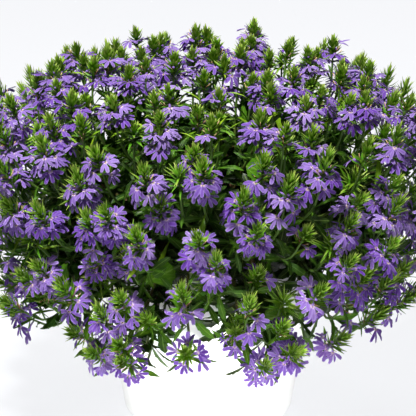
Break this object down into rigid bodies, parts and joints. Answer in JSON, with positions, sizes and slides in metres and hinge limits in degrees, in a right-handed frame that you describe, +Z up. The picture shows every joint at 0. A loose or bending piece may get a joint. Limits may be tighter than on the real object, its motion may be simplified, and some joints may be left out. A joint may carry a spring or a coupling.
{
  "type": "potted fan flower plant",
  "caption": "Mounding, trailing fan flower plant: leafy stems with collars of violet fan-shaped flowers under green bract tufts, in soil in a tapered white pot.",
  "frame": {"origin": "middle of the pot's flat underside, on the surface that the pot stands on", "axes": "+Z up along the pot's axis; -Y is the side that the picture shows; +X is to its right"},
  "size_m": [0.5078, 0.5105, 0.4027],
  "materials": {
    "pot": "satin",
    "soil": "matte",
    "foliage": "satin",
    "petals": "matte"
  },
  "bodies": {
    "root": {"flower_heads_01": "petals", "flower_heads_02": "petals", "flower_heads_03": "petals", "flower_heads_04": "petals", "flower_heads_05": "petals", "flower_heads_06": "petals", "flower_heads_07": "petals", "flower_heads_08": "petals", "flower_heads_09": "petals", "flower_heads_10": "petals", "flower_heads_11": "petals", "flower_heads_12": "petals", "flower_heads_13": "petals", "flower_heads_14": "petals", "flower_heads_15": "petals", "flower_heads_16": "petals", "flower_heads_17": "petals", "flower_heads_18": "petals", "flower_heads_19": "petals", "flower_heads_20": "petals", "flower_heads_21": "petals", "flower_heads_22": "petals", "flower_heads_23": "petals", "flower_heads_24": "petals", "flower_heads_25": "petals", "flower_heads_26": "petals", "flower_heads_27": "petals", "flower_heads_28": "petals", "flower_heads_29": "petals", "flower_heads_30": "petals", "flower_heads_31": "petals", "flower_heads_32": "petals", "flower_heads_33": "petals", "flower_heads_34": "petals", "leafy_stem_01": "foliage", "leafy_stem_02": "foliage", "leafy_stem_03": "foliage", "leafy_stem_04": "foliage", "leafy_stem_05": "foliage", "leafy_stem_06": "foliage", "leafy_stem_07": "foliage", "leafy_stem_08": "foliage", "leafy_stem_09": "foliage", "leafy_stem_10": "foliage", "leafy_stem_11": "foliage", "leafy_stem_12": "foliage", "pot": "pot", "soil": "soil"}
  },
  "joints": []
}
